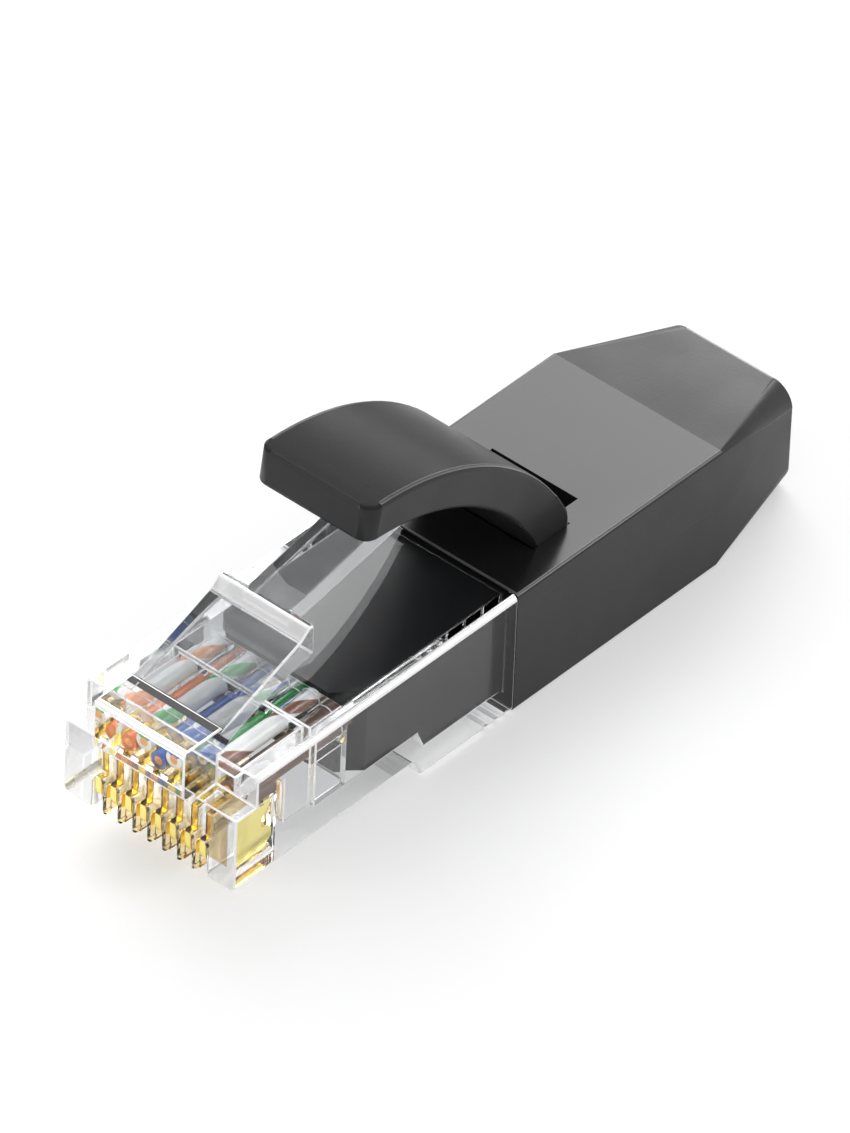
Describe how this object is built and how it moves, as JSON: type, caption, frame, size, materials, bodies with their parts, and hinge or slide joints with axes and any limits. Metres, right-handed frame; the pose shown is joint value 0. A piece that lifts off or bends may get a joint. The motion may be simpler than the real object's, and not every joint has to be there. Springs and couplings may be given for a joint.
{
  "type": "ethernet plug",
  "caption": "Modular network plug: clear contact nose with a sprung latch, gold blades, colour-coded wires, and a slim black boot with an arched release lever.",
  "frame": {"origin": "middle of the plug's footprint, on the plane that the heel and the boot rest on", "axes": "+Y from the nose to the cable, +Z towards the latch, +X across the contacts to pin 8"},
  "size_m": [0.0116, 0.046, 0.018],
  "materials": {
    "clear_plastic": "clear, polished",
    "black_core": "smooth",
    "black_boot": "satin",
    "gold_contact": "gold plated, polished",
    "white_orange": "smooth insulation",
    "orange": "smooth insulation",
    "white_green": "smooth insulation",
    "blue": "smooth insulation",
    "white_blue": "smooth insulation",
    "green": "smooth insulation",
    "white_brown": "smooth insulation",
    "brown": "smooth insulation"
  },
  "bodies": {
    "plug": {"plug_body": "clear_plastic", "wire_guide": "clear_plastic", "inner_mould": "black_core", "boot": "black_boot", "contact_1": "gold_contact", "contact_2": "gold_contact", "contact_3": "gold_contact", "contact_4": "gold_contact", "contact_5": "gold_contact", "contact_6": "gold_contact", "contact_7": "gold_contact", "contact_8": "gold_contact", "wire_1": "white_orange", "wire_2": "orange", "wire_3": "white_green", "wire_4": "blue", "wire_5": "white_blue", "wire_6": "green", "wire_7": "white_brown", "wire_8": "brown"},
    "lever": {"press_lever": "black_boot"},
    "latch": {"latch_tab": "clear_plastic"}
  },
  "joints": [
    {"name": "lever_press", "type": "hinge", "parent": "plug", "child": "lever", "pos_m": [0, 0.00429, 0.0081], "axis": [1, 0, 0], "range_deg": [0, 15], "stiffness_Nm_per_rad": 0.1},
    {"name": "latch_flex", "type": "hinge", "parent": "plug", "child": "latch", "pos_m": [0, -0.02, 0.00855], "axis": [1, 0, 0], "range_deg": [-9, 0]}
  ],
  "couplings": [
    {"joint": "latch_flex", "follows": "lever_press", "ratio": -0.6}
  ]
}
